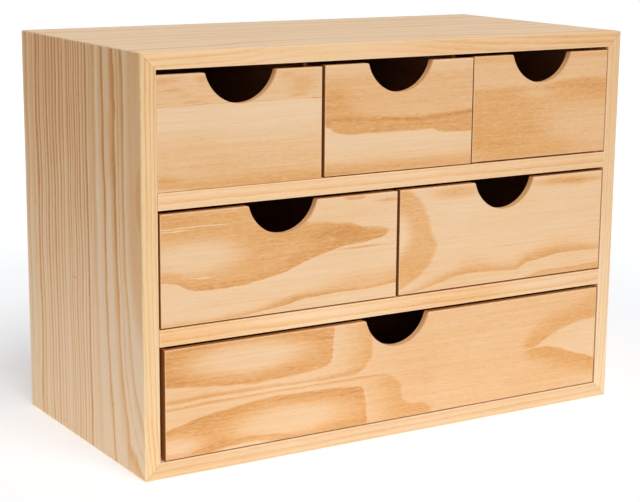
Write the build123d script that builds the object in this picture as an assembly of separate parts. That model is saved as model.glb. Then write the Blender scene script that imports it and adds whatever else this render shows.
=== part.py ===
from build123d import *
import math
import os

# A table-top chest of six drawers in rows of three, two and one, in pine.
# Millimetres. The origin is the centre of the base, +Z is up and the drawers open towards -Y.

# Case: mitred boards, with shelves between the rows
case_width = 420.0
case_depth = 210.0
row_height = 84.0
board = 12.0
corner_round = 1.2
front_arris = 0.5

# Gaps across each row at rest: left wall, between neighbours, right wall
top_row_gaps = (0.3, 2.5, 0.8, 0.4)
middle_row_gaps = (1.9, 2.4, 0.6)
bottom_row_gaps = (4.4, 0.9)

# Gap under each front of a row, from left to right: each is fixed at its own height
top_row_lifts = (0.2, 0.8, 1.3)
middle_row_lifts = (1.0, 1.2)
bottom_row_lifts = (0.7,)

# Splines let into the mitred corners, stopped short of the front and the rear
spline_thickness = 3.0
spline_cover = 1.2
spline_inset = 0.5
spline_stop = 20.0
spline_fit = 0.05
spline_end_gap = 0.4

# Dowels in the ends of the shelves
dowel_diameter = 6.0
dowel_in_shelf = 16.0
dowel_skin = 4.0
dowel_edge = 45.0
dowel_fit = 0.05
dowel_end_gap = 0.5
shelf_end_gap = 0.2

# Back panel in a rebate, held by pins
back_panel_thickness = 4.0
rebate = 6.0
back_panel_fit = 0.3
pin_length = 14.0
pin_edge = 36.0
pin_spacing = 125.0

# Dividers between neighbouring drawers, set back behind the fronts, in grooves in the boards above and below
divider_thickness = 3.0
divider_groove = 3.0
divider_gap = 20.0
divider_fit = 0.1

# Brads and pins
brad_diameter = 1.2
brad_head_diameter = 2.4
brad_head = 0.5
brad_fit = 0.03

# Drawer fronts, each with a round finger notch
front_thickness = 6.0
front_recess = 0.8
front_room = 4.0
front_edge_round = 0.6
notch_width = 56.5
notch_depth = 22.4
notch_corner_round = 1.5

# Drawer boxes behind the fronts
box_clearance = 0.5
closing_gap = 0.5
side_thickness = 6.0
side_drop = 2.0
side_housing = 3.0
housing_fit = 0.05
drawer_back_thickness = 6.0
drawer_bottom_thickness = 3.0
drawer_bottom_lift = 5.0
drawer_bottom_groove = 3.0
drawer_bottom_end_gap = 0.3
box_edge_round = 0.5
side_brad_length = 18.0
side_brad_edge = 15.0
bottom_brad_length = 12.0
bottom_brad_edge = 18.0
bottom_brad_spacing = 110.0

# Rows from the bottom up: the drawers and the dividers from left to right, the gaps and the lifts
rows = (
    (("bottom_drawer",), (), bottom_row_gaps, bottom_row_lifts),
    (
        ("middle_left_drawer", "middle_right_drawer"),
        ("middle_row_divider",),
        middle_row_gaps,
        middle_row_lifts,
    ),
    (
        ("top_left_drawer", "top_middle_drawer", "top_right_drawer"),
        ("top_row_left_divider", "top_row_right_divider"),
        top_row_gaps,
        top_row_lifts,
    ),
)
# The boards under each row and over the last one, from the bottom up
levels = ("bottom_panel", "lower_shelf", "upper_shelf", "top_panel")

# Places worked out from the sizes above
case_height = board + len(rows) * (row_height + board)
inner_half = case_width / 2 - board
front_plane = -case_depth / 2
rear_plane = case_depth / 2
back_panel_plane = rear_plane - back_panel_thickness
drawer_face = front_plane + front_recess
front_rear = drawer_face + front_thickness
drawer_end = back_panel_plane - closing_gap
box_inset = divider_thickness / 2 + box_clearance
through = case_depth


def block(x, y, z):
    """A box between two limits on each axis."""
    cuboid = Box(x[1] - x[0], y[1] - y[0], z[1] - z[0])
    return Pos((x[0] + x[1]) / 2, (y[0] + y[1]) / 2, (z[0] + z[1]) / 2) * cuboid


def rod(start, direction, diameter, length):
    """A round rod from a point along a direction."""
    along = Plane(origin=start, z_dir=direction)
    return along * Cylinder(diameter / 2, length, align=(Align.CENTER, Align.CENTER, Align.MIN))


def brad(start, direction, length, fit=0.0):
    """A headed brad with its head flush at the start point, or its hole where a fit is given."""
    shank = rod(start, direction, brad_diameter + 2 * fit, length + fit)
    head = rod(start, direction, brad_head_diameter + 2 * fit, brad_head + fit)
    return shank + head


def spread(first, last, spacing):
    """Even places from first to last, no further apart than the spacing."""
    steps = max(1, math.ceil((last - first) / spacing))
    return [first + (last - first) * step / steps for step in range(steps + 1)]


def row_floor(row):
    """Height of the board that a row's drawers run on."""
    return board + row * (row_height + board)


def row_places(gaps):
    """Left and right ends of each front in a row of equal drawers."""
    width = (2 * inner_half - sum(gaps)) / (len(gaps) - 1)
    places = []
    left = -inner_half
    for gap in gaps[:-1]:
        left += gap
        places.append((left, left + width))
        left += width
    return places


def case_ring():
    """The four outer boards as one ring, with eased edges and a rebate at the rear."""
    outside = block((-case_width / 2, case_width / 2), (front_plane, rear_plane), (0, case_height))
    hollow = block((-inner_half, inner_half), (-through, through), (board, case_height - board))
    ring = fillet(outside.edges(), corner_round) - hollow
    front_face = ring.faces().sort_by(Axis.Y)[0]
    ring = ring.fillet(front_arris, front_face.inner_wires()[0].edges())
    seat = block(
        (-inner_half - rebate, inner_half + rebate),
        (back_panel_plane, through),
        (board - rebate, case_height - board + rebate),
    )
    return ring - seat


def wedge(outline):
    """A prism through the whole depth, over an outline in X and Z."""
    return extrude(Plane.XZ * Polygon(*outline, align=None), amount=through, both=True)


def mitred_boards():
    """The ring cut into four boards along the diagonals of its corners."""
    past = case_width / 2 + board
    below = -board
    above = case_height + board
    low = board
    high = case_height - board
    outlines = {
        "left_side_panel": [(-past, below), (-inner_half, low), (-inner_half, high), (-past, above)],
        "right_side_panel": [(past, below), (past, above), (inner_half, high), (inner_half, low)],
        "top_panel": [(-past, above), (-inner_half, high), (inner_half, high), (past, above)],
        "bottom_panel": [(-past, below), (past, below), (inner_half, low), (-inner_half, low)],
    }
    ring = case_ring()
    return {name: ring & wedge(outline) for name, outline in outlines.items()}


def shelf(upper_face):
    """A shelf with its upper face at the given height and its front edges eased."""
    reach = inner_half - shelf_end_gap
    depth = (front_plane, back_panel_plane)
    plank = block((-reach, reach), depth, (upper_face - board, upper_face))
    return fillet(plank.edges().filter_by(Axis.X).group_by(Axis.Y)[0], front_arris)


def corner_spline(side, top, fit=0.0, end_gap=0.0):
    """A spline across one mitre, or its slot where a fit is given."""
    inward = board / 2 + spline_inset
    width = 2 * math.sqrt(2) * (board / 2 - spline_inset - spline_cover) - spline_thickness
    strip = Box(
        width + 2 * end_gap,
        case_depth - 2 * spline_stop + 2 * end_gap,
        spline_thickness + 2 * fit,
    )
    x = side * (case_width / 2 - inward)
    z = case_height - inward if top else inward
    mitre_angle = 45 if top else -45
    return Pos(x, 0, z) * Rot(0, side * mitre_angle, 0) * strip


def drawer_front(left, right, low):
    """A plywood front with its finger notch and eased front edges."""
    high = low + row_height - front_room
    middle = (left + right) / 2
    radius = (notch_width ** 2 / 4 + notch_depth ** 2) / (2 * notch_depth)
    sheet = Pos(middle, (low + high) / 2) * Rectangle(right - left, high - low)
    profile = sheet - Pos(middle, high + radius - notch_depth) * Circle(radius)
    top_corners = profile.vertices().group_by(Axis.Y)[-1]
    notch_corners = top_corners.sort_by(lambda corner: abs(corner.X - middle))[:2]
    profile = fillet(notch_corners, notch_corner_round)
    panel = extrude(Plane.XZ.offset(-drawer_face) * profile, amount=front_thickness, dir=(0, 1, 0))
    return fillet(panel.faces().sort_by(Axis.Y)[0].edges(), front_edge_round)


def drawer(name, left, right, floor, lift):
    """One drawer's nodes: front, two sides, back, bottom and brads."""
    top = floor + row_height - front_room - side_drop
    housing_end = front_rear - side_housing
    outer = (left + box_inset, right - box_inset)
    inner = (outer[0] + side_thickness, outer[1] - side_thickness)
    bottom_low = floor + drawer_bottom_lift
    bottom_high = bottom_low + drawer_bottom_thickness
    bottom_reach = drawer_bottom_groove - drawer_bottom_end_gap
    tail = drawer_end - drawer_back_thickness

    groove = block(
        (inner[0] - drawer_bottom_groove, inner[1] + drawer_bottom_groove),
        (housing_end, through),
        (bottom_low - housing_fit, bottom_high + housing_fit),
    )
    front = drawer_front(left, right, floor + lift) - groove
    sides = {}
    for part, limits in (("left_side", (outer[0], inner[0])), ("right_side", (inner[1], outer[1]))):
        housing = block(
            (limits[0] - housing_fit, limits[1] + housing_fit),
            (housing_end, through),
            (floor, top + housing_fit),
        )
        front = front - housing
        plank = block(limits, (housing_end, drawer_end), (floor, top))
        plank = fillet(plank.edges().filter_by(Axis.Y).group_by(Axis.Z)[-1], box_edge_round)
        sides[part] = plank - groove

    back = block(inner, (tail, drawer_end), (bottom_high, top))
    back = fillet(back.edges().filter_by(Axis.X).group_by(Axis.Z)[-1], box_edge_round)
    bottom = block(
        (inner[0] - bottom_reach, inner[1] + bottom_reach),
        (housing_end + drawer_bottom_end_gap, drawer_end),
        (bottom_low, bottom_high),
    )

    brads = []
    tail_middle = (tail + drawer_end) / 2
    for part, face, inward in (("left_side", outer[0], 1), ("right_side", outer[1], -1)):
        for z in (bottom_high + side_brad_edge, top - side_brad_edge):
            place = ((face, tail_middle, z), (inward, 0, 0), side_brad_length)
            brads.append(brad(*place))
            sides[part] = sides[part] - brad(*place, brad_fit)
            back = back - brad(*place, brad_fit)
    for x in spread(inner[0] + bottom_brad_edge, inner[1] - bottom_brad_edge, bottom_brad_spacing):
        place = ((x, tail_middle, bottom_low), (0, 0, 1), bottom_brad_length)
        brads.append(brad(*place))
        bottom = bottom - brad(*place, brad_fit)
        back = back - brad(*place, brad_fit)

    return {
        f"{name}_front": front,
        f"{name}_left_side": sides["left_side"],
        f"{name}_right_side": sides["right_side"],
        f"{name}_back": back,
        f"{name}_bottom": bottom,
        f"{name}_brads": Compound(brads),
    }


# Case boards and shelves, whole before their joints are cut
boards = mitred_boards()
shelf_faces = {name: row_floor(row) for row, name in enumerate(levels[:-1]) if row > 0}
for name, upper_face in shelf_faces.items():
    boards[name] = shelf(upper_face)
uprights = {-1: "left_side_panel", 1: "right_side_panel"}

# Splines in the corners
splines = []
for side, upright in uprights.items():
    for across, top in (("bottom_panel", False), ("top_panel", True)):
        slot = corner_spline(side, top, spline_fit, spline_end_gap)
        boards[upright] = boards[upright] - slot
        boards[across] = boards[across] - slot
        splines.append(corner_spline(side, top))

# Dowels between the shelves and the sides
dowels = []
dowel_in_side = board - dowel_skin
dowel_length = dowel_in_side + dowel_in_shelf
hole_length = dowel_length + 2 * dowel_end_gap
for name, upper_face in shelf_faces.items():
    z = upper_face - board / 2
    for side, upright in uprights.items():
        for y in (front_plane + dowel_edge, rear_plane - dowel_edge):
            end = side * (inner_half + dowel_in_side)
            hole_end = end + side * dowel_end_gap
            dowels.append(rod((end, y, z), (-side, 0, 0), dowel_diameter, dowel_length))
            hole = rod((hole_end, y, z), (-side, 0, 0), dowel_diameter + 2 * dowel_fit, hole_length)
            boards[upright] = boards[upright] - hole
            boards[name] = boards[name] - hole

# Dividers in stopped grooves, slid in from the rear
dividers = {}
for row, (_, names, gaps, _) in enumerate(rows):
    places = row_places(gaps)
    low = row_floor(row) - divider_groove
    high = row_floor(row) + row_height + divider_groove
    front_end = front_rear + divider_gap
    for name, before, after in zip(names, places[:-1], places[1:]):
        left = (before[1] + after[0] - divider_thickness) / 2
        right = left + divider_thickness
        groove = block(
            (left - divider_fit, right + divider_fit),
            (front_end - divider_fit, through),
            (low, high),
        )
        for level in (levels[row], levels[row + 1]):
            boards[level] = boards[level] - groove
        dividers[name] = block((left, right), (front_end, back_panel_plane), (low, high - divider_fit))

# Back panel, pinned to the rebate and to the shelves
back_panel = block(
    (-inner_half - rebate + back_panel_fit, inner_half + rebate - back_panel_fit),
    (back_panel_plane, rear_plane),
    (board - rebate + back_panel_fit, case_height - board + rebate - back_panel_fit),
)
ledge = board - rebate / 2
pin_heights = {"bottom_panel": ledge, "top_panel": case_height - ledge}
for name, upper_face in shelf_faces.items():
    pin_heights[name] = upper_face - board / 2
pin_places = []
for name, z in pin_heights.items():
    for x in spread(-case_width / 2 + pin_edge, case_width / 2 - pin_edge, pin_spacing):
        pin_places.append((name, x, z))
for side, upright in uprights.items():
    for z in spread(pin_edge, case_height - pin_edge, pin_spacing):
        pin_places.append((upright, side * (case_width / 2 - ledge), z))
pins = []
for name, x, z in pin_places:
    place = ((x, rear_plane, z), (0, -1, 0), pin_length)
    pins.append(brad(*place))
    boards[name] = boards[name] - brad(*place, brad_fit)
    back_panel = back_panel - brad(*place, brad_fit)

nodes = {
    **boards,
    **dividers,
    "back_panel": back_panel,
    "corner_splines": Compound(splines),
    "shelf_dowels": Compound(dowels),
    "back_panel_pins": Compound(pins),
}
for row, (names, _, gaps, lifts) in enumerate(rows):
    for name, (left, right), lift in zip(names, row_places(gaps), lifts):
        nodes.update(drawer(name, left, right, row_floor(row), lift))

os.makedirs("parts", exist_ok=True)
for name, shape in nodes.items():
    export_step(shape, f"parts/{name}.step")
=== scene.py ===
import math

import bpy
from mathutils import Matrix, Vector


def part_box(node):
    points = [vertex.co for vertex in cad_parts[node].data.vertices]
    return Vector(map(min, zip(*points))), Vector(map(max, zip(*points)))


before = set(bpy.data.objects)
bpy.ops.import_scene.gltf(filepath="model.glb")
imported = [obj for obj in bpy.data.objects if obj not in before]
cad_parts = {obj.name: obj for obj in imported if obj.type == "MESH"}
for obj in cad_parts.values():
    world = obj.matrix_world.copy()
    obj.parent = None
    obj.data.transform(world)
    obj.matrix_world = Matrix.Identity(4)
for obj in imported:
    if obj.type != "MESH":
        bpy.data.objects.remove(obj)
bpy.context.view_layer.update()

bpy.ops.object.select_all(action="DESELECT")
millimetre = 0.001


# small helpers for building node trees

def linearColour(colour):
    channels = []
    for byte in colour:
        share = byte / 255
        channels.append(share / 12.92 if share <= 0.04045 else ((share + 0.055) / 1.055) ** 2.4)
    return (*channels, 1.0)


def place(tree, kind, inputs=(), **settings):
    node = tree.nodes.new(kind)
    for key, value in settings.items():
        setattr(node, key, value)
    pairs = inputs.items() if isinstance(inputs, dict) else enumerate(inputs)
    for key, value in pairs:
        if isinstance(value, bpy.types.NodeSocket):
            tree.links.new(value, node.inputs[key])
        else:
            node.inputs[key].default_value = value
    return node


def maths(tree, operation, *values):
    return place(tree, "ShaderNodeMath", values, operation=operation).outputs[0]


def times(tree, first, second):
    return maths(tree, "MULTIPLY", first, second)


def minus(tree, first, second):
    return maths(tree, "SUBTRACT", first, second)


def timesPlus(tree, value, factor, added):
    return maths(tree, "MULTIPLY_ADD", value, factor, added)


def centred(tree, value):
    return minus(tree, value, 0.5)


def softStep(tree, value, low, high, atLow=0.0, atHigh=1.0):
    limits = (value, low, high, atLow, atHigh)
    return place(tree, "ShaderNodeMapRange", limits, interpolation_type="SMOOTHSTEP").outputs[0]


def vectorMaths(tree, operation, *values):
    return place(tree, "ShaderNodeVectorMath", values, operation=operation).outputs[0]


def split(tree, vector):
    return place(tree, "ShaderNodeSeparateXYZ", (vector,)).outputs


def join(tree, parts):
    return place(tree, "ShaderNodeCombineXYZ", parts).outputs[0]


def noise(tree, vector, scale, detail, roughness=0.5):  # scale is features to the metre, each way
    stretched = vectorMaths(tree, "MULTIPLY", vector, scale)
    inputs = {"Vector": stretched, "Scale": 1.0, "Detail": detail, "Roughness": roughness}
    return place(tree, "ShaderNodeTexNoise", inputs).outputs[0]


def mixColour(tree, factor, first, second, blend="MIX"):
    inputs = {0: factor, 6: first, 7: second}  # 6 and 7 are the node's colour sockets
    return place(tree, "ShaderNodeMix", inputs, data_type="RGBA", blend_type=blend).outputs[2]


def colourRamp(tree, value, stops):
    node = place(tree, "ShaderNodeValToRGB", (value,))
    elements = node.color_ramp.elements
    while len(elements) < len(stops):
        elements.new(0.5)
    for element, (position, colour) in zip(elements, stops):
        element.position = position
        element.color = linearColour(colour)
    return node.outputs[0]


def handCurve(tree, value, points, handle="AUTO_CLAMPED"):
    node = place(tree, "ShaderNodeFloatCurve", {"Value": value})
    node.mapping.use_clip = False
    line = node.mapping.curves[0]
    line.points[0].location = points[0]
    line.points[1].location = points[-1]
    for x, y in points[1:-1]:
        line.points.new(x, y)
    for point in line.points:
        point.handle_type = handle
    node.mapping.update()
    return node.outputs[0]


def shaderGroup(name, inputs, outputs):
    group = bpy.data.node_groups.new(name, "ShaderNodeTree")
    for direction, sockets in (("INPUT", inputs), ("OUTPUT", outputs)):
        for label, kind in sockets.items():
            group.interface.new_socket(label, in_out=direction, socket_type=f"NodeSocket{kind}")
    given = group.nodes.new("NodeGroupInput").outputs
    return group, given


def closeGroup(group, **results):
    node = group.nodes.new("NodeGroupOutput")
    for label, socket in results.items():
        group.links.new(socket, node.inputs[label])


def useGroup(tree, group, **inputs):
    return place(tree, "ShaderNodeGroup", inputs, node_tree=group).outputs


def newMaterial(name):
    material = bpy.data.materials.new(name)
    material.use_nodes = True
    tree = material.node_tree
    shader = tree.nodes["Principled BSDF"]
    coordinates = place(tree, "ShaderNodeTexCoord").outputs
    return material, tree, shader, coordinates


def setMaterial(nodeName, material):
    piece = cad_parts[nodeName]
    piece.data.materials.clear()
    piece.data.materials.append(material)


def boxOf(nodeName):
    low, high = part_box(nodeName)
    return low, high, [b - a for a, b in zip(low, high)]


def sharesOfBox(tree, position, low, size):
    inputs = {
        "Vector": position,
        "Location": [-a / s for a, s in zip(low, size)],
        "Scale": [1 / s for s in size],
    }
    return split(tree, place(tree, "ShaderNodeMapping", inputs).outputs[0])


# wood finish: tone 0 is pale early wood, tone 1 is orange late wood

woodFinishLook = {
    "paleWood": (247, 216, 179),
    "warmWood": (241, 196, 146),
    "lateWood": (232, 173, 109),
    "deepWood": (210, 145, 81),
    "fleckWood": (166, 99, 46),
    "wornAndHighlitWood": (253, 228, 190),
    "ramp": [(0.0, "paleWood"), (0.34, "warmWood"), (0.68, "lateWood"), (1.0, "deepWood")],
    "fibre": {"scale": (14, 620, 620), "detail": 4.0, "roughness": 0.6},
    "hair": {"scale": (70, 2600, 2600), "detail": 2.0},
    "blotch": {"scale": (9, 26, 26), "detail": 3.0},
    "dashes": {"scale": (120, 1300, 1300), "detail": 1.0},
    "glints": {"scale": (95, 950, 950), "detail": 1.0},
    "stipple": {"scale": (200, 900, 900), "detail": 2.0, "roughness": 0.6},
    "fibreTone": 0.45, "blotchTone": 0.34, "hairTone": 0.16, "stippleTone": 0.8,
    "fleckLevels": (0.66, 0.74), "fleckByTone": 0.8, "fleckLeast": 0.02,
    "glintLevels": (0.62, 0.74), "glintTones": (0.45, 0.75),
    "roughByFibre": 0.22, "roughLeast": 0.44,
    "toneHeight": 0.4, "hairHeight": 0.5, "fleckHeight": -0.5,
    "bump": 0.12 * millimetre, "bumpStrength": 0.45, "gloss": 0.15,
}


def makeWoodFinish():
    inputs = {"Tone": "Float", "Grain": "Vector", "Wear": "Float", "Flecks": "Float"}
    outputs = {"Colour": "Color", "Roughness": "Float", "Height": "Float"}
    group, given = shaderGroup("woodFinish", inputs, outputs)
    look = woodFinishLook
    fibre = noise(group, given["Grain"], **look["fibre"])
    hair = noise(group, given["Grain"], **look["hair"])
    blotch = noise(group, given["Grain"], **look["blotch"])
    dashes = noise(group, given["Grain"], **look["dashes"])
    glints = noise(group, given["Grain"], **look["glints"])
    stipple = noise(group, given["Grain"], **look["stipple"])
    tone = timesPlus(group, centred(group, fibre), look["fibreTone"], given["Tone"])
    tone = timesPlus(group, centred(group, blotch), look["blotchTone"], tone)
    tone = timesPlus(group, centred(group, hair), look["hairTone"], tone)
    grit = times(group, centred(group, stipple), given["Tone"])
    tone = timesPlus(group, grit, look["stippleTone"], tone)
    colour = colourRamp(group, tone, [(position, look[name]) for position, name in look["ramp"]])
    fleck = softStep(group, dashes, *look["fleckLevels"])
    share = timesPlus(group, given["Tone"], look["fleckByTone"], look["fleckLeast"])
    share = times(group, fleck, times(group, share, given["Flecks"]))
    colour = mixColour(group, share, colour, linearColour(look["fleckWood"]))
    glint = softStep(group, glints, *look["glintLevels"])
    glint = times(group, glint, softStep(group, given["Tone"], *look["glintTones"]))
    share = times(group, glint, given["Flecks"])
    colour = mixColour(group, share, colour, linearColour(look["paleWood"]))
    # pale worn edges, on the case boards partly a painted highlight
    colour = mixColour(group, given["Wear"], colour, linearColour(look["wornAndHighlitWood"]))
    roughness = timesPlus(group, fibre, look["roughByFibre"], look["roughLeast"])
    height = timesPlus(group, given["Tone"], look["toneHeight"], fibre)
    height = timesPlus(group, hair, look["hairHeight"], height)
    height = timesPlus(group, fleck, look["fleckHeight"], height)
    closeGroup(group, Colour=colour, Roughness=roughness, Height=height)
    return group


# edge wear, and on the case boards a painted highlight along the arrises: 1 along the edges of a box, where
# two of its faces meet, 0 inside its faces

edgeWearLook = {"uneven": {"scale": (160, 160, 160), "detail": 2.0}, "widthByNoise": 1.6, "widthLeast": 0.2}


def makeEdgeWear():
    inputs = {"Position": "Vector", "Low": "Vector", "High": "Vector", "Width": "Float"}
    group, given = shaderGroup("edgeWear", inputs, {"Wear": "Float"})
    look = edgeWearLook
    fromLow = vectorMaths(group, "SUBTRACT", given["Position"], given["Low"])
    fromHigh = vectorMaths(group, "SUBTRACT", given["High"], given["Position"])
    x, y, z = split(group, vectorMaths(group, "MINIMUM", fromLow, fromHigh))
    lesser = maths(group, "MINIMUM", x, y)
    greater = maths(group, "MAXIMUM", x, y)
    second = maths(group, "MAXIMUM", lesser, maths(group, "MINIMUM", greater, z))
    uneven = noise(group, given["Position"], **look["uneven"])
    reach = times(group, given["Width"], timesPlus(group, uneven, look["widthByNoise"], look["widthLeast"]))
    closeGroup(group, Wear=softStep(group, second, reach, 0.0))
    return group


# plywood edge: plies seen from the side, darker where their end grain shows

plywoodEdgeLook = {
    "palePly": (252, 204, 148),
    "darkPly": (238, 178, 118),
    "glueLine": (198, 136, 82),
    "wander": {"scale": (60, 160, 160), "detail": 2.0}, "wanderShare": 0.05,
    "streak": {"scale": (700, 900, 900), "detail": 3.0}, "streakShare": 0.7, "streakLeast": -0.2,
    "endGrainShare": 0.55,
    "glueReach": (0.07, 0.02),
    "edgeFacing": (0.75, 0.45),
}


def makePlywoodEdge():
    inputs = {"Depth": "Float", "Facing": "Float", "Plies": "Float", "Grain": "Vector", "Colour": "Color"}
    group, given = shaderGroup("plywoodEdge", inputs, {"Colour": "Color", "Edge": "Float"})
    look = plywoodEdgeLook
    wander = noise(group, given["Grain"], **look["wander"])
    wavy = timesPlus(group, centred(group, wander), look["wanderShare"], given["Depth"])
    layer = times(group, wavy, given["Plies"])
    crosswise = maths(group, "PINGPONG", maths(group, "FLOOR", layer), 1.0)  # every second ply
    within = maths(group, "FRACT", layer)
    line = maths(group, "MINIMUM", within, minus(group, 1.0, within))
    glue = softStep(group, line, *look["glueReach"])
    streak = noise(group, given["Grain"], **look["streak"])
    share = timesPlus(group, streak, look["streakShare"], look["streakLeast"])
    share = timesPlus(group, crosswise, look["endGrainShare"], share)
    colour = mixColour(group, share, linearColour(look["palePly"]), linearColour(look["darkPly"]))
    colour = mixColour(group, glue, colour, linearColour(look["glueLine"]))
    edge = softStep(group, maths(group, "ABSOLUTE", given["Facing"]), *look["edgeFacing"])
    closeGroup(group, Colour=mixColour(group, edge, given["Colour"], colour), Edge=edge)
    return group


# two brushes that lay a tone on the rotary-cut veneer of a drawer front

def layTone(group, given, share):
    change = minus(group, given["Target"], given["Tone"])
    closeGroup(group, Tone=timesPlus(group, change, share, given["Tone"]))
    return group


def makeVeneerZone():
    inputs = {"Tone": "Float", "Target": "Float", "Place": "Float", "Lower": "Float", "Upper": "Float",
              "LowerSoft": "Float", "UpperSoft": "Float"}
    group, given = shaderGroup("veneerZone", inputs, {"Tone": "Float"})
    lowerEnd = maths(group, "ADD", given["Lower"], given["LowerSoft"])
    upperEnd = minus(group, given["Upper"], given["UpperSoft"])
    above = softStep(group, given["Place"], given["Lower"], lowerEnd)
    below = softStep(group, given["Place"], given["Upper"], upperEnd)
    return layTone(group, given, times(group, above, below))


def makeVeneerLoop():
    inputs = {"Tone": "Float", "Target": "Float", "Across": "Float", "Up": "Float", "CentreAcross": "Float",
              "CentreUp": "Float", "HalfAcross": "Float", "HalfUp": "Float", "Squareness": "Float",
              "Rim": "Float", "Soft": "Float"}
    group, given = shaderGroup("veneerLoop", inputs, {"Tone": "Float"})
    terms = []
    for value in ("Across", "Up"):
        offset = minus(group, given[value], given[f"Centre{value}"])
        share = maths(group, "ABSOLUTE", maths(group, "DIVIDE", offset, given[f"Half{value}"]))
        terms.append(maths(group, "POWER", share, given["Squareness"]))
    inverse = maths(group, "DIVIDE", 1.0, given["Squareness"])
    radius = maths(group, "POWER", maths(group, "ADD", *terms), inverse)
    inside = softStep(group, radius, 1.0, minus(group, 1.0, given["Soft"]))
    rim = softStep(group, radius, minus(group, 1.0, given["Rim"]), 1.0)
    return layTone(group, given, times(group, inside, rim))


# growth rings of a sawn board: the tone rises slowly through a ring and drops at its end

pineRingsLook = {
    "tremor": {"scale": (22, 120, 120), "detail": 2.0}, "tremorShare": 0.36,
    "dropFrom": 0.8,
    "lineLeast": 0.6, "lineSpread": 0.8,
    "fineCount": 2.7, "fineNarrow": 1.6, "fineLeast": 0.0, "fineSpread": 0.5,
}


def ringLines(group, ring, narrow, least, spread):
    within = maths(group, "FRACT", ring)
    rise = maths(group, "POWER", within, narrow)
    line = times(group, rise, softStep(group, within, 1.0, pineRingsLook["dropFrom"]))
    number = maths(group, "FLOOR", ring)
    chance = place(group, "ShaderNodeTexWhiteNoise", {"W": number}, noise_dimensions="1D").outputs["Value"]
    return times(group, line, timesPlus(group, chance, spread, least))


def makePineRings():
    inputs = {"Ring": "Float", "Grain": "Vector", "Narrow": "Float", "Strength": "Float"}
    group, given = shaderGroup("pineRings", inputs, {"Tone": "Float"})
    look = pineRingsLook
    tremor = noise(group, given["Grain"], **look["tremor"])
    ring = timesPlus(group, centred(group, tremor), look["tremorShare"], given["Ring"])
    main = ringLines(group, ring, given["Narrow"], look["lineLeast"], look["lineSpread"])
    fineRing = times(group, ring, look["fineCount"])
    fine = ringLines(group, fineRing, look["fineNarrow"], look["fineLeast"], look["fineSpread"])
    closeGroup(group, Tone=times(group, maths(group, "ADD", main, fine), given["Strength"]))
    return group


# joint line: the fine dark seam where two boards meet

jointLineLook = {
    "seam": (150, 92, 44), "halfWidth": 0.30 * millimetre, "share": 0.55,
    "uneven": {"scale": (260, 260, 260), "detail": 2.0}, "shareByNoise": 1.2, "shareLeast": -0.1,
}


def makeJointLine():
    inputs = {"Distance": "Float", "Position": "Vector", "Colour": "Color"}
    group, given = shaderGroup("jointLine", inputs, {"Colour": "Color"})
    look = jointLineLook
    uneven = noise(group, given["Position"], **look["uneven"])
    seam = softStep(group, maths(group, "ABSOLUTE", given["Distance"]), look["halfWidth"], 0.0)
    share = timesPlus(group, uneven, look["shareByNoise"], look["shareLeast"])
    share = times(group, seam, times(group, share, look["share"]))
    closeGroup(group, Colour=mixColour(group, share, given["Colour"], linearColour(look["seam"])))
    return group


woodFinish = makeWoodFinish()
jointLine = makeJointLine()
edgeWear = makeEdgeWear()
plywoodEdge = makePlywoodEdge()
veneerZone = makeVeneerZone()
veneerLoop = makeVeneerLoop()
pineRings = makePineRings()
print("wood node groups built")


def finishWood(tree, shader, tone, grain, wearAndHighlight, flecks):
    look = woodFinishLook
    made = useGroup(tree, woodFinish, Tone=tone, Grain=grain, Wear=wearAndHighlight, Flecks=flecks)
    bump = {"Height": made["Height"], "Strength": look["bumpStrength"], "Distance": look["bump"]}
    tree.links.new(place(tree, "ShaderNodeBump", bump).outputs[0], shader.inputs["Normal"])
    tree.links.new(made["Roughness"], shader.inputs["Roughness"])
    shader.inputs["Specular IOR Level"].default_value = look["gloss"]
    return made["Colour"]


def wornAndHighlitEdges(tree, position, nodeName, look):
    low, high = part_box(nodeName)
    inputs = {"Position": position, "Low": tuple(low), "High": tuple(high), "Width": look["wearAndHighlightWidth"]}
    return times(tree, useGroup(tree, edgeWear, **inputs)["Wear"], look["wearAndHighlight"])


# drawer fronts: the figure of each veneer, laid on by zones and loops
# places are shares of the front, across from its left edge and up from its lower edge

def zone(tone, lower=-1.0, upper=2.0, lowerSoft=0.008, upperSoft=0.008):
    return {"Target": tone, "Lower": lower, "Upper": upper, "LowerSoft": lowerSoft, "UpperSoft": upperSoft}


def sideZone(tone, left, right, leftSoft, rightSoft):
    return {"sideways": True, **zone(tone, left, right, leftSoft, rightSoft)}


def loop(tone, centre, half, squareness=2.0, rim=8.0, soft=0.03):
    return {"Target": tone, "CentreAcross": centre[0], "CentreUp": centre[1], "HalfAcross": half[0],
            "HalfUp": half[1], "Squareness": squareness, "Rim": rim, "Soft": soft}


# the top row grows darker from left to right partly through its tones: painted shade, where the light falls
# off towards the right
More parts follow.
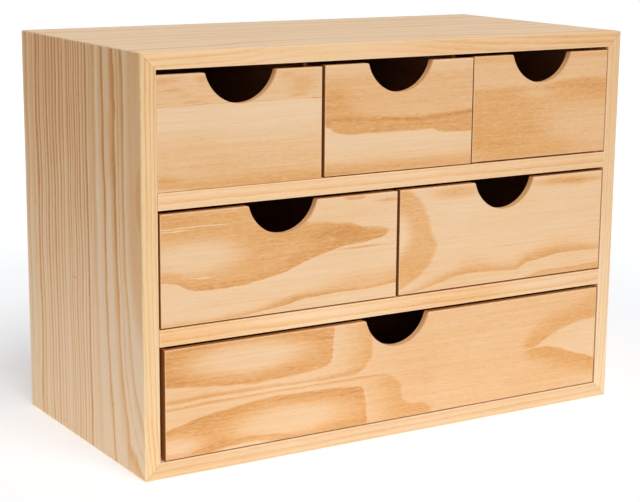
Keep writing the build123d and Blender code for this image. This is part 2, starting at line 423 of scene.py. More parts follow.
topLeftFigure = {
    "base": 0.14,
    "layers": [
        zone(0.40, upper=0.66, upperSoft=0.5),
        zone(0.66, upper=[(0, 0.19), (0.3, 0.13), (0.55, 0.14), (0.8, 0.13), (1, 0.11)], upperSoft=0.09),
        zone(0.28, upper=[(0, 0.045), (0.15, 0.03), (0.3, 0.0), (1, 0.0)], upperSoft=0.02),
        loop(0.74, (0.05, 0.10), (0.16, 0.03), soft=0.9),
        loop(0.66, (0.42, 0.055), (0.20, 0.022), soft=0.9),
        # the strip above the seam
        zone(0.34, lower=0.735),
        loop(0.60, (0.03, 0.95), (0.14, 0.05), soft=0.9),
        loop(0.62, (0.10, 0.87), (0.10, 0.022), soft=0.95),
        loop(0.56, (0.17, 0.82), (0.09, 0.02), soft=0.95),
        loop(0.58, (0.22, 0.765), (0.09, 0.02), soft=0.95),
        loop(0.56, (0.26, 0.95), (0.06, 0.05), soft=0.9),
        loop(0.56, (0.87, 0.85), (0.12, 0.13), squareness=2.4, soft=0.8),
        loop(0.66, (0.85, 0.765), (0.08, 0.02), soft=0.95),
        loop(0.62, (0.79, 0.95), (0.06, 0.03), soft=0.95),
        # the seam
        zone(0.54, lower=0.725, upper=0.738, lowerSoft=0.006, upperSoft=0.004),
        loop(0.76, (0.24, 0.732), (0.10, 0.006), soft=0.8),
        loop(0.68, (0.94, 0.732), (0.08, 0.006), soft=0.8),
    ],
}

topMiddleShore = [(0, 0.46), (0.1, 0.38), (0.2, 0.36), (0.7, 0.365), (0.8, 0.32), (1, 0.31)]
topMiddleFigure = {
    "base": 0.30,
    "layers": [
        zone(0.48, lower=0.45, lowerSoft=0.2, upper=0.95, upperSoft=0.1),
        zone(0.70, lower=topMiddleShore,
             upper=[(0, 0.85), (0.2, 0.66), (0.5, 0.57), (1, 0.60)], upperSoft=0.16),
        loop(0.74, (0.05, 0.66), (0.20, 0.24), soft=0.9),
        zone(0.90, lower=[(0, 0.47), (0.2, 0.47), (0.65, 0.43), (1, 0.47)], lowerSoft=0.035,
             upper=[(0, 0.53), (0.2, 0.53), (0.65, 0.50), (1, 0.545)], upperSoft=0.035),
        zone(0.15, upper=topMiddleShore, lower=0.05, lowerSoft=0.24),
        zone(0.62, upper=0.16, upperSoft=0.12),
        zone(0.74, upper=[(0, 0.055), (0.3, 0.04), (0.45, 0.0), (1, 0.0)], upperSoft=0.03),
    ],
}

topRightFigure = {
    "base": 0.52,
    "layers": [
        zone(0.38, lower=0.66, lowerSoft=0.08),
        zone(0.54, lower=0.92, lowerSoft=0.05),
        zone(0.66, upper=[(0, 0.71), (0.2, 0.72), (0.45, 0.70), (0.68, 0.755), (0.8, 0.765), (1, 0.755)],
             upperSoft=0.05, lower=0.36, lowerSoft=0.3),
        loop(0.68, (0.20, 0.30), (0.46, 0.46), soft=0.7),
        loop(0.72, (0.85, 0.66), (0.30, 0.10), soft=0.9),
        loop(0.40, (0.90, 0.27), (0.48, 0.30), soft=0.7),
        loop(0.46, (0.46, 0.62), (0.20, 0.06), soft=0.9),
        loop(0.60, (0.52, 0.07), (0.45, 0.12), soft=0.9),
    ],
}

# the long dark arm of the middle left front
armLower = [(0, 0.40), (0.06, 0.37), (0.1, 0.32), (0.2, 0.285), (0.38, 0.31), (0.5, 0.36), (0.6, 0.44),
            (0.7, 0.505), (0.77, 0.54), (0.85, 0.55), (0.9, 0.57), (0.945, 0.592), (0.966, 0.635), (1, 0.66)]
armTip = [(0.92, 0.675), (0.945, 0.662), (0.966, 0.635), (1, 0.60)]
armUpper = [(0, 1.1), (0.58, 1.1), (0.6, 0.82), (0.68, 0.80), (0.8, 0.73), (0.86, 0.69), *armTip]
paleAboveArm = [(0, 1.1), (0.58, 1.1), (0.60, 0.82), (0.7, 0.80), (0.77, 0.75), (0.84, 0.70), *armTip]
middleLeftFigure = {
    "base": 0.20,
    "layers": [
        zone(0.63, lower=armLower, upper=armUpper, upperSoft=0.03),
        zone(0.79, lower=armLower, upper=[(0, 0.50), (0.2, 0.42), (0.4, 0.46), (0.6, 0.60), (1, 0.72)],
             upperSoft=0.14),
        loop(0.85, (0.77, 0.665), (0.23, 0.14), squareness=1.7, soft=0.7),
        loop(0.20, (0.13, 0.60), (0.30, 0.23), squareness=2.2, soft=0.75),
        zone(0.69, lower=0.75, lowerSoft=0.14,
             upper=[(0, 0.99), (0.3, 0.97), (0.37, 0.7), (1, 0.7)], upperSoft=0.03),
        loop(0.06, (0.10, 0.868), (0.26, 0.010), soft=0.8),
        loop(0.16, (0.05, 0.842), (0.12, 0.008), soft=0.8),
        loop(0.10, (0.16, 0.41), (0.07, 0.010), soft=0.8),
        loop(0.62, (0.01, 0.45), (0.12, 0.05), soft=0.8),
        # the band along the lower edge
        zone(0.50, lower=[(0.2, 0.02), (0.5, 0.08), (0.8, 0.13), (1, 0.16)], lowerSoft=0.05,
             upper=[(0.2, 0.06), (0.5, 0.18), (0.75, 0.31), (1, 0.34)], upperSoft=0.18),
        zone(0.80, lower=[(0.2, 0.0), (0.38, 0.025), (0.5, 0.055), (0.6, 0.10), (0.8, 0.105), (1, 0.13)],
             upper=[(0.2, 0.05), (0.4, 0.10), (0.6, 0.18), (0.8, 0.18), (1, 0.21)], upperSoft=0.08),
        zone(0.50, upper=[(0, 0.07), (0.3, 0.05), (0.42, 0.0), (1, 0.0)], upperSoft=0.06),
        loop(0.62, (0.81, 0.985), (0.06, 0.03), soft=0.5),
        loop(0.58, (0.96, 0.93), (0.09, 0.03), soft=0.8),
        loop(0.70, (0.85, 0.515), (0.16, 0.012), soft=0.9),
        zone(0.22, lower=paleAboveArm, lowerSoft=0.02, upper=0.9, upperSoft=0.1),
    ],
}

middleRightFigure = {
    "base": 0.22,
    "layers": [
        # the crescent at the left edge
        sideZone(0.60, -0.2,
                 [(0, -0.02), (0.05, 0.02), (0.15, 0.10), (0.25, 0.15), (0.33, 0.172), (0.44, 0.187),
                  (0.54, 0.172), (0.62, 0.157), (0.72, 0.15), (0.82, 0.125), (0.93, 0.09), (1, 0.05)],
                 0.01, 0.03),
        loop(0.14, (-0.03, 0.57), (0.115, 0.29), soft=0.65),
        loop(0.60, (0.27, 0.93), (0.17, 0.10), soft=0.9),
        loop(0.76, (0.83, 0.935), (0.25, 0.06), soft=0.9),
        # the band along the lower edge
        zone(0.46, lower=[(0.06, 0.0), (0.3, 0.12), (0.55, 0.10), (0.62, 0.16), (0.8, 0.20), (1, 0.20)],
             upper=[(0.06, 0.1), (0.25, 0.26), (0.35, 0.36), (0.5, 0.26), (0.6, 0.32), (0.8, 0.44),
                    (1, 0.34)],
             upperSoft=0.22),
        zone(0.74, lower=[(0.06, 0.0), (0.2, 0.07), (0.3, 0.115), (0.4, 0.12), (0.55, 0.095), (0.62, 0.155),
                          (0.7, 0.175), (0.8, 0.20), (1, 0.20)],
             upper=[(0.06, 0.07), (0.2, 0.17), (0.4, 0.22), (0.55, 0.19), (0.62, 0.27), (0.8, 0.32),
                    (1, 0.29)],
             upperSoft=0.13),
        zone(0.56, upper=[(0, -0.02), (0.56, -0.02), (0.62, 0.02), (0.7, 0.055), (1, 0.072)],
             upperSoft=0.012),
    ],
}

# the pale wedge at the right of the bottom front
wedgeLower = [(0.83, 0.465), (0.88, 0.455), (0.93, 0.38), (1, 0.27)]
bottomFigure = {
    "base": 0.38,
    "layers": [
        loop(0.29, (0.05, 0.50), (0.50, 3.0), squareness=6.0, soft=0.22),
        # the lower lens and the ring round it
        sideZone(0.68, 0.40,
                 [(0, 0.59), (0.10, 0.575), (0.14, 0.535), (0.2, 0.517), (0.33, 0.515), (0.40, 0.50),
                  (0.465, 0.475), (0.48, 0.3), (1, 0.0)],
                 0.13, 0.012),
        zone(0.66, lower=[(0, 0.43), (0.2, 0.45), (0.44, 0.44), (0.48, 0.5), (1, 0.9)], lowerSoft=0.03,
             upper=[(0, 0.47), (0.12, 0.485), (0.3, 0.48), (0.46, 0.475), (0.48, 0.46), (1, 0.4)]),
        zone(0.78, upper=[(0, 0.28), (0.08, 0.36), (0.15, 0.405), (0.25, 0.435), (0.35, 0.415), (0.41, 0.395),
                          (0.423, 0.34), (0.43, 0.2), (0.436, -0.3), (1, -0.5)], upperSoft=0.02),
        loop(0.20, (0.26, 0.18), (0.20, 0.225), soft=0.75),
        loop(0.16, (0.02, 0.10), (0.10, 0.16), soft=0.9),
        loop(0.74, (0.16, -0.01), (0.12, 0.10), rim=0.5, soft=0.05),
        loop(0.12, (0.16, -0.01), (0.08, 0.055), soft=0.4),
        # the upper lens and the ring round it
        sideZone(0.80, 0.35,
                 [(0, 0.0), (0.48, 0.2), (0.495, 0.40), (0.52, 0.415), (0.62, 0.44), (0.7, 0.447),
                  (1, 0.447)],
                 0.13, 0.012),
        zone(0.62, lower=[(0, 0.50), (0.12, 0.51), (0.3, 0.50), (0.40, 0.505), (0.44, 0.62), (1, 1.5)],
             upper=[(0, 0.56), (0.12, 0.57), (0.3, 0.55), (0.40, 0.58), (0.44, 0.6), (1, 0.5)],
             upperSoft=0.04),
        zone(0.76, lower=[(0, 0.66), (0.03, 0.64), (0.1, 0.60), (0.2, 0.575), (0.28, 0.59), (0.335, 0.62),
                          (0.35, 0.68), (0.355, 0.8), (0.36, 1.3), (1, 1.5)], lowerSoft=0.02),
        loop(0.18, (0.165, 0.83), (0.185, 0.215), soft=0.7),
        loop(0.46, (0.575, 0.34), (0.03, 0.09), soft=0.9),
        # the wedge between two dark tongues
        zone(0.74, lower=[(0, 2), (0.78, 2), (0.80, 0.4), (0.88, 0.16), (1, 0.0)], lowerSoft=0.25,
             upper=[(0, 0), (0.78, 0.3), *wedgeLower]),
        zone(0.66, lower=[(0, 2), (0.78, 0.6), (0.83, 0.475), (0.87, 0.55), (0.92, 0.64), (1, 0.70)],
             upper=[(0, 0), (0.78, 0.5), (0.84, 0.80), (1, 1.05)], upperSoft=0.28),
        zone(0.24, lower=[(0, 0.6), (0.80, 0.5), *wedgeLower],
             upper=[(0, 0.4), (0.80, 0.46), (0.83, 0.475), (0.87, 0.55), (0.92, 0.64), (0.96, 0.69),
                    (1, 0.70)],
             upperSoft=0.02),
    ],
}

frontFigures = {
    "bottom_drawer": bottomFigure,
    "middle_left_drawer": middleLeftFigure,
    "middle_right_drawer": middleRightFigure,
    "top_left_drawer": topLeftFigure,
    "top_middle_drawer": topMiddleFigure,
    "top_right_drawer": topRightFigure,
}

frontLook = {
    "slow": {"scale": (30, 30, 60), "detail": 2.0}, "slowUp": 2.6 * millimetre,
    "teeth": {"scale": (55, 55, 420), "detail": 3.0, "roughness": 0.65},
    "teethUp": 2.4 * millimetre, "teethAcross": 5.0 * millimetre,
    "wearAndHighlightWidth": 1.2 * millimetre, "wearAndHighlight": 0.45, "flecks": 0.5, "plies": 3.0,
    "sawnEndAndShade": (186, 152, 112), "sawnEndAndShadeReach": 0.6 * millimetre,
}


def layVeneer(tree, tone, layer, across, up):
    inputs = {"Tone": tone, **layer}
    sideways = inputs.pop("sideways", False)
    follow = up if sideways else across
    for label, value in layer.items():
        if isinstance(value, list):
            inputs[label] = handCurve(tree, follow, value)
    if "Lower" in layer:
        return useGroup(tree, veneerZone, Place=across if sideways else up, **inputs)["Tone"]
    return useGroup(tree, veneerLoop, Across=across, Up=up, **inputs)["Tone"]


def frontMaterial(drawer, figure):
    look = frontLook
    nodeName = f"{drawer}_front"
    low, high, size = boxOf(nodeName)
    width, _, height = size
    material, tree, shader, coordinates = newMaterial(f"{drawer}_veneer")
    position = coordinates["Object"]
    across, depth, up = sharesOfBox(tree, position, low, size)
    slow = centred(tree, noise(tree, position, **look["slow"]))
    teeth = centred(tree, noise(tree, position, **look["teeth"]))
    up = timesPlus(tree, slow, look["slowUp"] / height, up)
    up = timesPlus(tree, teeth, look["teethUp"] / height, up)
    across = timesPlus(tree, teeth, look["teethAcross"] / width, across)
    tone = figure["base"]
    for layer in figure["layers"]:
        tone = layVeneer(tree, tone, layer, across, up)
    x, y, z = split(tree, position)
    grain = join(tree, (x, z, y))
    wearAndHighlight = wornAndHighlitEdges(tree, position, nodeName, look)
    colour = finishWood(tree, shader, tone, grain, wearAndHighlight, look["flecks"])
    facing = split(tree, coordinates["Normal"])["Y"]
    plies = {"Depth": depth, "Facing": facing, "Plies": look["plies"], "Grain": grain, "Colour": colour}
    edge = useGroup(tree, plywoodEdge, **plies)
    # the ends of the front are darkened by a colour multiply: their sawn end grain, and painted shade where
    # they face the gaps beside the front
    fromMiddle = maths(tree, "ABSOLUTE", minus(tree, x, (low[0] + high[0]) / 2))
    end = softStep(tree, fromMiddle, width / 2 - look["sawnEndAndShadeReach"], width / 2)
    end = times(tree, end, edge["Edge"])
    colour = mixColour(tree, end, edge["Colour"], linearColour(look["sawnEndAndShade"]), "MULTIPLY")
    tree.links.new(colour, shader.inputs["Base Color"])
    return material


for drawer, figure in frontFigures.items():
    setMaterial(f"{drawer}_front", frontMaterial(drawer, figure))
print("drawer fronts veneered:", len(frontFigures))


# case boards: solid pine
# along, across and through name the axes of the grain, and faceAt is the outer end of through
# rings are pairs of a ring's end, as a share of the board from its rear edge, and its strength
# bend and reach move the rings, by places along and across the board
# what starts with edge is for the front edge alone, by places along the board

leftSideLook = {
    "along": "Z", "across": "Y", "through": "X", "faceAt": "low", "joint": "mitre",
    "rings": [(0.045, 0.6), (0.105, 0.8), (0.14, 1.0), (0.165, 0.9), (0.185, 0.8), (0.205, 0.9), (0.235, 0.9),
              (0.262, 0.85), (0.29, 1.3), (0.317, 0.7), (0.345, 1.0), (0.37, 0.8), (0.415, 1.1), (0.43, 0.9),
              (0.45, 0.9), (0.475, 0.8), (0.495, 1.0), (0.52, 0.9), (0.55, 1.2), (0.58, 1.2), (0.66, 0.75),
              (0.727, 1.4), (0.812, 1.3), (0.872, 1.3), (1.05, 0.34)],
    "narrow": [(0, 1.0), (0.14, 1.3), (0.17, 1.5), (0.55, 1.5), (0.6, 1.3), (0.66, 1.6), (0.70, 2.6),
               (0.76, 2.0), (0.82, 2.6), (0.875, 2.6), (0.9, 4.0), (1, 4.0)],
    "bend": [(0, 1), (0.1, 0.70), (0.2, 0.50), (0.3, 0.36), (0.4, 0.2), (0.55, 0.0), (1, 0.0)],
    "reach": [(0, 0), (0.55, 0), (0.68, 0.025), (0.78, 0.06), (0.86, 0.095), (0.914, 0.135), (0.97, 0.18),
              (1, 0.195)],
    "ringsThrough": 3.6,
    # the side grows paler towards the bottom: painted light, where the floor lights it more
    "toneAndLightAlong": [(0, -0.22), (0.35, -0.14), (0.7, 0.0), (1, 0.1)],
    "strengthAlong": [(0, 0.9), (0.4, 1.1), (0.75, 1.45), (1, 1.55)],
    "edgeTone": [(0, 0.28), (0.5, 0.2), (1, 0.04)],
    "edgeFade": [(0, -0.4), (0.5, -0.2), (1, 0.35)],
    "edgePaintedLight": (1.03, 1.06, 1.0), "edgeLightAlong": [(0, 1), (1, 1)],
    "marks": [
        loop(0.40, (1.03, 0.72), (0.165, 0.46), squareness=3.0, soft=0.35),
        loop(0.62, (0.985, 0.67), (0.034, 0.088), soft=0.4),
        loop(1.0, (0.748, 0.144), (0.006, 0.003), soft=0.6),
        loop(1.0, (0.324, 0.018), (0.006, 0.003), soft=0.6),
        loop(0.9, (0.446, 0.414), (0.02, 0.0025), soft=0.6),
    ],
}
rightSideLook = {
    **leftSideLook, "faceAt": "high", "marks": [],
    "rings": [(0.06, 0.5), (0.12, 0.7), (0.2, 0.8), (0.25, 0.6), (0.33, 0.9), (0.39, 0.6), (0.44, 0.7),
              (0.475, 0.6), (0.52, 0.8), (0.56, 0.7), (0.595, 0.6), (0.66, 0.9), (0.73, 0.8), (0.8, 1.0),
              (0.91, 0.8), (1.05, 0.4)],
    "ringsThrough": 3.4,
    "toneAndLightAlong": [(0, 0.02), (1, 0.08)],
    "strengthAlong": [(0, 0.8), (1, 1.0)],
    "edgeTone": [(0, 0.06), (1, 0.25)],
    "edgeFade": [(0, -0.4), (1, -0.4)],
    "edgePaintedLight": (1.04, 1.08, 1.09), "edgeLightAlong": [(0, 1), (1, 0.2)],
}
acrossLook = {
    "along": "X", "across": "Y", "through": "Z", "faceAt": "high", "joint": "mitre", "marks": [],
    "rings": [(0.04, 0.4), (0.09, 0.3), (0.17, 0.5), (0.21, 0.3), (0.30, 0.55), (0.36, 0.35), (0.40, 0.4),
              (0.49, 0.6), (0.53, 0.3), (0.62, 0.5), (0.71, 0.35), (0.75, 0.5), (0.85, 0.4), (0.94, 0.55),
              (1.05, 0.4)],
    "narrow": [(0, 1.8), (1, 1.8)],
    "bend": [(0, 0), (1, 0.3)],
    "reach": [(0, 0), (0.5, 0.1), (1, 0)],
    "ringsThrough": 2.6,
    "toneAndLightAlong": [(0, -0.1), (1, -0.07)],
    "strengthAlong": [(0, 1.35), (1, 1.35)],
    "edgeTone": [(0, 0.22), (0.4, 0.25), (0.8, 0.37), (1, 0.30)],
    "edgeFade": [(0, -0.5), (1, -0.5)],
    "edgePaintedLight": (1.09, 1.06, 0.98), "edgeLightAlong": [(0, 1), (0.5, 0.7), (1, 0.2)],
}
topBoardLook = {
    **acrossLook,
    "bend": [(0, 0), (0.16, -0.25), (0.28, -0.85), (0.38, -1), (0.5, -0.8), (0.64, -0.2), (0.8, 0.1),
             (1, 0.25)],
    "reach": [(0, 0), (0.5, 0.02), (0.75, 0.09), (0.9, 0.17), (1, 0.22)],
}
bottomBoardLook = {
    **acrossLook, "faceAt": "low",
    "edgeTone": [(0, 0.34), (0.4, 0.26), (1, 0.20)],
    "edgePaintedLight": (0.98, 1.02, 1.05), "edgeLightAlong": [(0, 1), (1, 1)],
}
upperShelfLook = {
    **acrossLook, "joint": "butt", "ringsThrough": 2.2,
    "edgeTone": [(0, 0.22), (0.4, 0.22), (0.8, 0.27), (1, 0.25)],
    "edgePaintedLight": (1.08, 1.05, 0.98),
}
lowerShelfLook = {
    **upperShelfLook, "ringsThrough": 1.8,
    "edgeTone": [(0, 0.46), (0.18, 0.24), (0.32, 0.15), (0.44, 0.18), (0.68, 0.34), (0.82, 0.21), (1, 0.24)],
}
boardLooks = {
    "left_side_panel": leftSideLook,
    "right_side_panel": rightSideLook,
    "top_panel": topBoardLook,
    "bottom_panel": bottomBoardLook,
    "upper_shelf": upperShelfLook,
    "lower_shelf": lowerShelfLook,
}
pineBoardLook = {
    "sway": {"scale": (9, 14, 14), "detail": 2.0}, "swayShare": 0.05,
    "frontEdge": (0.012, 0.004),  # shares of the board's depth
    # the case boards' pale worn edges are strengthened as a painted highlight along the arrises
    "wearAndHighlightWidth": 1.0 * millimetre, "wearAndHighlight": 0.7, "flecks": 0.35,
}


def boardMaterial(nodeName, look):
    low, _, size = boxOf(nodeName)
    material, tree, shader, coordinates = newMaterial(f"{nodeName}_pine")
    position = coordinates["Object"]
    share = dict(zip("XYZ", sharesOfBox(tree, position, low, size)))
    real = dict(zip("XYZ", split(tree, position)))
    length = dict(zip("XYZ", size))
    along, across, through = (look[key] for key in ("along", "across", "through"))
    grain = join(tree, (real[along], real[across], real[through]))
    # rings, counted from the rear edge
    sway = noise(tree, grain, **pineBoardLook["sway"])
    fromRear = minus(tree, 1.0, share[across])
    fromRear = timesPlus(tree, centred(tree, sway), pineBoardLook["swayShare"], fromRear)
    bend = handCurve(tree, share[along], look["bend"])
    reach = handCurve(tree, fromRear, look["reach"])
    counted = minus(tree, fromRear, times(tree, bend, reach))
    ringCount = len(look["rings"])
    ends = [(0, 0)] + [(end, (index + 1) / ringCount) for index, (end, _) in enumerate(look["rings"])]
    ring = times(tree, handCurve(tree, counted, ends, "VECTOR"), float(ringCount))
    inwards = share[through] if look["faceAt"] == "low" else minus(tree, 1.0, share[through])
    ring = timesPlus(tree, inwards, look["ringsThrough"], ring)
    narrow = handCurve(tree, counted, look["narrow"])
    strength = handCurve(tree, counted, look["rings"], "VECTOR")
    strength = times(tree, strength, handCurve(tree, share[along], look["strengthAlong"]))
    frontEdge = softStep(tree, share["Y"], *pineBoardLook["frontEdge"])
    fade = handCurve(tree, share[along], look["edgeFade"])
    strength = times(tree, strength, timesPlus(tree, frontEdge, fade, 1.0))
    rings = useGroup(tree, pineRings, Ring=ring, Grain=grain, Narrow=narrow, Strength=strength)
    # marks on the faces, another tone on the front edge
    plain = maths(tree, "ADD", rings["Tone"], handCurve(tree, share[along], look["toneAndLightAlong"]))
    tone = plain
    for mark in look["marks"]:
        tone = layVeneer(tree, tone, mark, fromRear, share[along])
    edgeTone = maths(tree, "ADD", plain, handCurve(tree, share[along], look["edgeTone"]))
    tone = timesPlus(tree, frontEdge, minus(tree, edgeTone, tone), tone)
    wearAndHighlight = wornAndHighlitEdges(tree, position, nodeName, pineBoardLook)
    colour = finishWood(tree, shader, tone, grain, wearAndHighlight, pineBoardLook["flecks"])
    # painted light: the front edge is made paler by a colour multiply, which fades along the board where the
    # light falls off
    lift = times(tree, frontEdge, handCurve(tree, share[along], look["edgeLightAlong"]))
    colour = mixColour(tree, lift, colour, (*look["edgePaintedLight"], 1.0), "MULTIPLY")
    # seam at the ends, slanted where the board is mitred
    fromEnd = maths(tree, "MINIMUM", share[along], minus(tree, 1.0, share[along]))
    fromEnd = times(tree, fromEnd, length[along])
    if look["joint"] == "mitre":
        fromEnd = minus(tree, fromEnd, times(tree, inwards, length[through]))
    joint = useGroup(tree, jointLine, Distance=fromEnd, Position=position, Colour=colour)
    tree.links.new(joint["Colour"], shader.inputs["Base Color"])
    return material


for nodeName, look in boardLooks.items():
    setMaterial(nodeName, boardMaterial(nodeName, look))
print("case boards grained:", len(boardLooks))


# thin plywood: rotary-cut figure on the faces, plies on the edges

plywoodLook = {
    "hills": {"scale": (2.2, 15, 4), "detail": 2.0, "roughness": 0.4}, "figureRings": 8.0,
    "teeth": {"scale": (50, 400, 400), "detail": 3.0, "roughness": 0.65}, "teethShare": 0.16,
    "rise": 2.0, "dropFrom": 0.9,
    # the inner pieces' grey-brown stain is partly painted shade, which keeps the drawers' insides dark
    # through the notches and gaps; the back panel takes a paler one
    "base": 0.2, "tone": 0.36, "stainAndShade": (196, 180, 172), "flecks": 0.5, "plies": 3.0,
    "wearAndHighlightWidth": 0.8 * millimetre, "wearAndHighlight": 0.35,
}
outerPlywoodLook = {**plywoodLook, "stainAndShade": (244, 238, 232)}


def plywoodMaterial(nodeName, look):
    low, high, size = boxOf(nodeName)
    order = sorted(range(3), key=lambda axis: -size[axis])
    thin = order[2]
    material, tree, shader, coordinates = newMaterial(f"{nodeName}_plywood")
    position = coordinates["Object"]
    real = split(tree, position)
    grain = join(tree, [real[axis] for axis in order])
    hills = noise(tree, grain, **look["hills"])
    teeth = times(tree, noise(tree, grain, **look["teeth"]), look["teethShare"])
    within = maths(tree, "FRACT", timesPlus(tree, hills, look["figureRings"], teeth))
    rise = maths(tree, "POWER", within, look["rise"])
    band = times(tree, rise, softStep(tree, within, 1.0, look["dropFrom"]))
    tone = timesPlus(tree, band, look["tone"], look["base"])
    wearAndHighlight = wornAndHighlitEdges(tree, position, nodeName, look)
    colour = finishWood(tree, shader, tone, grain, wearAndHighlight, look["flecks"])
    # stain, and on the inner pieces painted shade, laid on by a colour multiply
    colour = mixColour(tree, 1.0, colour, linearColour(look["stainAndShade"]), "MULTIPLY")
    depth = place(tree, "ShaderNodeMapRange", (real[thin], low[thin], high[thin])).outputs[0]
    facing = split(tree, coordinates["Normal"])[thin]
    plies = {"Depth": depth, "Facing": facing, "Plies": look["plies"], "Grain": grain, "Colour": colour}
    edge = useGroup(tree, plywoodEdge, **plies)
    tree.links.new(edge["Colour"], shader.inputs["Base Color"])
    return material


plywoodNodes = ["back_panel", "top_row_left_divider", "top_row_right_divider", "middle_row_divider",
                "corner_splines"]
for drawer in frontFigures:
    plywoodNodes += [f"{drawer}_{part}" for part in ("left_side", "right_side", "back", "bottom")]
for nodeName in plywoodNodes:
    look = outerPlywoodLook if nodeName == "back_panel" else plywoodLook
    setMaterial(nodeName, plywoodMaterial(nodeName, look))
print("thin plywood pieces finished:", len(plywoodNodes))


# dowels and steel pins

dowelLook = {
    "lines": {"scale": (12, 300, 300), "detail": 3.0}, "lineTone": 0.5, "base": 0.15, "flecks": 0.3,
    "wearAndHighlightWidth": 0.5 * millimetre, "wearAndHighlight": 0.3,
}
brightSteelLook = {
    "bright": (186, 186, 190), "dull": (128, 126, 126),
    "cloud": {"scale": (900, 900, 900), "detail": 3.0},
    "scratch": {"scale": (9000, 700, 9000), "detail": 2.0},
    "roughByScratch": 0.3, "roughLeast": 0.2,
    "bump": 0.03 * millimetre, "bumpStrength": 0.3,
}


def dowelMaterial():
    look = dowelLook
    material, tree, shader, coordinates = newMaterial("turned_dowel_wood")
    position = coordinates["Object"]
    tone = timesPlus(tree, noise(tree, position, **look["lines"]), look["lineTone"], look["base"])
    wearAndHighlight = wornAndHighlitEdges(tree, position, "shelf_dowels", look)
    colour = finishWood(tree, shader, tone, position, wearAndHighlight, look["flecks"])
    tree.links.new(colour, shader.inputs["Base Color"])
    return material


def steelMaterial():
    look = brightSteelLook
    material, tree, shader, coordinates = newMaterial("drawn_steel_wire")
    cloud = noise(tree, coordinates["Object"], **look["cloud"])
    scratch = noise(tree, coordinates["Object"], **look["scratch"])
    colour = mixColour(tree, cloud, linearColour(look["bright"]), linearColour(look["dull"]))
    roughness = timesPlus(tree, scratch, look["roughByScratch"], look["roughLeast"])
    bump = {"Height": scratch, "Strength": look["bumpStrength"], "Distance": look["bump"]}
    tree.links.new(colour, shader.inputs["Base Color"])
    tree.links.new(roughness, shader.inputs["Roughness"])
    tree.links.new(place(tree, "ShaderNodeBump", bump).outputs[0], shader.inputs["Normal"])
    shader.inputs["Metallic"].default_value = 1.0
    return material


setMaterial("shelf_dowels", dowelMaterial())
steel = steelMaterial()
for nodeName in ["back_panel_pins"] + [f"{drawer}_brads" for drawer in frontFigures]:
    setMaterial(nodeName, steel)
print("dowels and pins finished")


# studio: pale floor, white surround, one soft lamp

studioLook = {
    "surround": 0.28,
    "floorSize": 12.0, "floorDrop": 0.2 * millimetre,
    "floorColour": (233, 236, 240), "floorRoughness": 0.9,
    "seenGlow": (0.37, 0.75), "seenReach": (0.35, 1.3),  # what the eye sees, near and far
    "castGlow": (0.6, 0.0), "castReach": (0.45, 0.8),  # light thrown back on the chest
    "lampAt": (-0.2, -2.5, 3.9), "lampTo": (0, -0.1, 0.15), "lampSize": 2.4, "lampWatts": 116,
}


def whiteForEye(tree):
    path = place(tree, "ShaderNodeLightPath").outputs
    seen = maths(tree, "MAXIMUM", path["Is Camera Ray"], path["Is Glossy Ray"])
    return maths(tree, "MAXIMUM", seen, path["Is Transmission Ray"])


def makeSurround():
    world = bpy.data.worlds.new("studioSurround")
    bpy.context.scene.world = world
    world.use_nodes = True
    tree = world.node_tree
    soft = tree.nodes["Background"]
    soft.inputs["Color"].default_value = (1, 1, 1, 1)
    soft.inputs["Strength"].default_value = studioLook["surround"]
    white = place(tree, "ShaderNodeBackground", {"Color": (1, 1, 1, 1), "Strength": 1.0})
    mixed = place(tree, "ShaderNodeMixShader", (whiteForEye(tree), soft.outputs[0], white.outputs[0]))
    tree.links.new(mixed.outputs[0], tree.nodes["World Output"].inputs["Surface"])


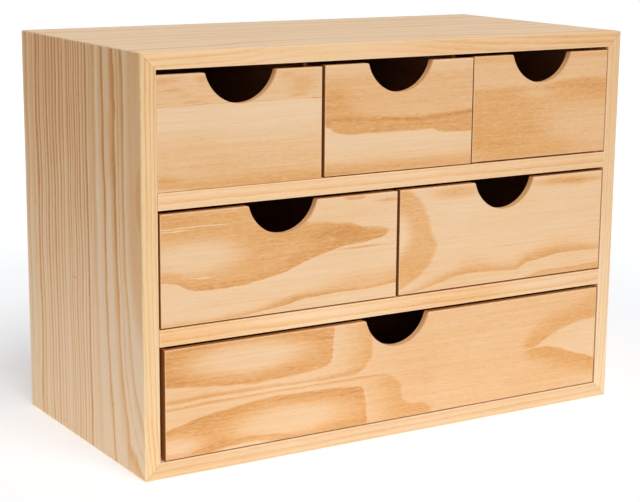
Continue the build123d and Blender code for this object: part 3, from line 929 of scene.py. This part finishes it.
def makeFloor():
    look = studioLook
    bpy.ops.mesh.primitive_plane_add(size=look["floorSize"], location=(0, 0, -look["floorDrop"]))
    floor = bpy.context.object
    floor.name = "studioFloor"
    bpy.ops.object.transform_apply(location=True)
    material, tree, shader, coordinates = newMaterial("pale_floor")
    shader.inputs["Base Color"].default_value = linearColour(look["floorColour"])
    shader.inputs["Roughness"].default_value = look["floorRoughness"]
    shader.inputs["Specular IOR Level"].default_value = 0.0
    shader.inputs["Emission Strength"].default_value = 1.0
    length = place(tree, "ShaderNodeVectorMath", (coordinates["Object"],), operation="LENGTH")
    distance = length.outputs["Value"]
    seen = softStep(tree, distance, *look["seenReach"], *look["seenGlow"])
    cast = softStep(tree, distance, *look["castReach"], *look["castGlow"])
    choice = {0: whiteForEye(tree), 2: cast, 3: seen}  # 2 and 3 are the node's number sockets
    glow = place(tree, "ShaderNodeMix", choice, data_type="FLOAT").outputs[0]
    tree.links.new(glow, shader.inputs["Emission Color"])
    floor.data.materials.append(material)


def makeLamp():
    look = studioLook
    bpy.ops.object.light_add(type="AREA", location=look["lampAt"])
    lamp = bpy.context.object
    lamp.name = "frontLamp"
    lamp.data.size = look["lampSize"]
    lamp.data.energy = look["lampWatts"]
    lamp.visible_camera = False
    aim = [b - a for a, b in zip(look["lampAt"], look["lampTo"])]
    heading = math.atan2(aim[1], aim[0]) - math.pi / 2
    lift = math.atan2(aim[2], math.hypot(aim[0], aim[1]))
    lamp.rotation_euler = (math.pi / 2 + lift, 0, heading)


makeSurround()
makeFloor()
makeLamp()
print("studio set up")


# camera of the photograph, 640 by 502

cameraLook = {
    "at": (-0.6849, -1.1061, 0.4028), "heading": -31.63, "lookDown": 12.09, "roll": 0.492,
    "lens": 93.38, "sensor": 36.0, "nearest": 0.01,
}


def makeCamera():
    look = cameraLook
    bpy.ops.object.camera_add(location=look["at"])
    camera = bpy.context.object
    camera.name = "photoCamera"
    heading = Matrix.Rotation(math.radians(look["heading"]), 3, "Z")
    tilt = Matrix.Rotation(math.radians(90 - look["lookDown"]), 3, "X")
    roll = Matrix.Rotation(math.radians(look["roll"]), 3, "Z")
    camera.rotation_euler = (heading @ tilt @ roll).to_euler()
    camera.data.sensor_width = look["sensor"]
    camera.data.sensor_fit = "HORIZONTAL"
    camera.data.lens = look["lens"]
    camera.data.clip_start = look["nearest"]
    bpy.context.scene.camera = camera


makeCamera()
bpy.context.scene.view_settings.view_transform = "Standard"
print("camera placed")
